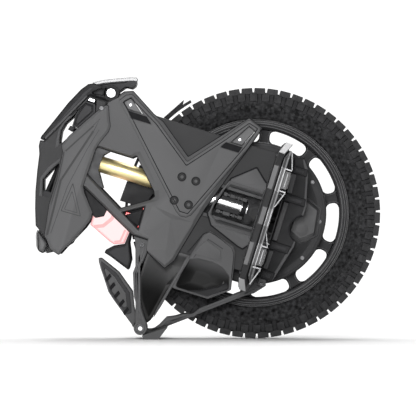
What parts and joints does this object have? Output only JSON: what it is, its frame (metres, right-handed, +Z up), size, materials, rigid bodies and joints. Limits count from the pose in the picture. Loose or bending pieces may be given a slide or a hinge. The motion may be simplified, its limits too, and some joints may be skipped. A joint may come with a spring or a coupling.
{
  "type": "electric suspension unicycle",
  "caption": "Self-balancing electric unicycle with a sprung side frame over one large knobbly tyre, folding pedals, lifting handle and rear foot, shown parked on that foot.",
  "frame": {"origin": "on the floor, in the middle of the parked machine's plan box", "axes": "+Z up; +X towards the wheel end, across the wheel's plane to the right in the picture; +Y along the wheel's axle, towards the rider's left"},
  "size_m": [0.6857, 0.46, 0.5189],
  "materials": {
    "tyre_rubber": "matt knobbly rubber",
    "rim_black": "black anodised, machined lip",
    "valve_metal": "nickelled",
    "hub_black": "black cast alloy",
    "cover_black": "satin black cast alloy",
    "bright_steel": "satin steel",
    "axle_steel": "ground steel",
    "stator_iron": "varnished laminations and windings",
    "slider_alloy": "bead blasted",
    "dark_bolt": "black oxide",
    "stanchion_chrome": "polished",
    "gold_tube": "gold anodised, polished",
    "body_charcoal": "fine matt texture",
    "plate_charcoal": "matt powder coat",
    "cover_charcoal": "fine matt texture",
    "shell_dark": "fine matt texture",
    "pack_blue": "heat-shrink film",
    "black_plastic": "moulded",
    "foot_rubber": "moulded rubber",
    "pad_leather": "grained grey synthetic leather over foam",
    "tail_lens": "lit translucent lens",
    "head_lens": "smoked clear lens",
    "module_grey": "satin",
    "handle_dark": "matt powder coat",
    "pedal_alloy": "matt anodised deck on bright underframe",
    "button_red": "glossy"
  },
  "bodies": {
    "frame": {"battery_box_left": "body_charcoal", "battery_box_right": "body_charcoal", "battery_packs": "pack_blue", "box_panel_left": "plate_charcoal", "box_panel_right": "plate_charcoal", "guide_rails": "slider_alloy", "gold_tube_left": "gold_tube", "gold_tube_right": "gold_tube", "tube_clamps": "slider_alloy", "frame_cover_left": "body_charcoal", "frame_cover_right": "body_charcoal", "armour_plate_left": "plate_charcoal", "armour_plate_right": "plate_charcoal", "corner_inserts_left": "plate_charcoal", "corner_inserts_right": "plate_charcoal", "panel_bolts": "bright_steel", "lower_bumper_left": "black_plastic", "lower_bumper_right": "black_plastic", "side_fairing_left": "body_charcoal", "side_fairing_right": "body_charcoal", "rear_scoop_left": "black_plastic", "rear_scoop_right": "black_plastic", "rear_arms": "body_charcoal", "stand_legs": "body_charcoal", "rear_foot": "foot_rubber", "rear_pin": "bright_steel", "tail_fins": "black_plastic", "tail_lights": "tail_lens", "top_shell": "shell_dark", "side_cover_left": "cover_charcoal", "side_cover_right": "cover_charcoal", "tail_pad": "pad_leather", "display_module": "module_grey", "front_cowl": "shell_dark", "headlight_lens": "head_lens", "handle_pivots": "bright_steel", "pedal_hangers": "bright_steel"},
    "carriage": {"axle": "axle_steel", "axle_nuts": "bright_steel", "slider_left": "slider_alloy", "slider_right": "slider_alloy", "slider_bolts": "dark_bolt", "stanchion_left": "stanchion_chrome", "stanchion_right": "stanchion_chrome", "inner_fender": "black_plastic", "fender_stays": "black_plastic", "motor_stator": "stator_iron"},
    "wheel": {"tyre": "tyre_rubber", "rim": "rim_black", "valve": "valve_metal", "motor_hub": "hub_black", "hub_bearings": "bright_steel", "motor_cover_left": "cover_black", "motor_cover_right": "cover_black", "motor_cover_bolts": "bright_steel"},
    "handle": {"handle": "handle_dark"},
    "power_button": {"power_button": "button_red"},
    "rear_flap": {"rear_flap": "body_charcoal"},
    "pedal_left": {"pedal_left": "pedal_alloy"},
    "pedal_right": {"pedal_right": "pedal_alloy"}
  },
  "joints": [
    {"name": "suspension", "type": "slide", "parent": "frame", "child": "carriage", "axis": [-0.9553, 0, 0.2957], "range_m": [0, 0.055], "stiffness_N_per_m": 14000, "springref_m": -0.05},
    {"name": "wheel_spin", "type": "hinge", "parent": "carriage", "child": "wheel", "pos_m": [0.09287, 0, 0.25], "axis": [0, 1, 0], "continuous": true},
    {"name": "handle_lift", "type": "hinge", "parent": "frame", "child": "handle", "pos_m": [-0.19262, 0, 0.48733], "axis": [0, 1, 0], "range_deg": [0, 80]},
    {"name": "power_press", "type": "slide", "parent": "frame", "child": "power_button", "axis": [0.9553, 0, -0.2957], "range_m": [0, 0.0015], "stiffness_N_per_m": 800, "springref_m": -0.001},
    {"name": "flap_fold", "type": "hinge", "parent": "frame", "child": "rear_flap", "pos_m": [-0.13498, 0, 0.02187], "axis": [0, 1, 0], "range_deg": [-40, 0]},
    {"name": "pedal_left_fold", "type": "hinge", "parent": "frame", "child": "pedal_left", "pos_m": [0.10433, 0.12, 0.24645], "axis": [0.2957, 0, 0.9553], "range_deg": [0, 82]},
    {"name": "pedal_right_fold", "type": "hinge", "parent": "frame", "child": "pedal_right", "pos_m": [0.10433, -0.12, 0.24645], "axis": [-0.2957, 0, -0.9553], "range_deg": [0, 82]}
  ]
}
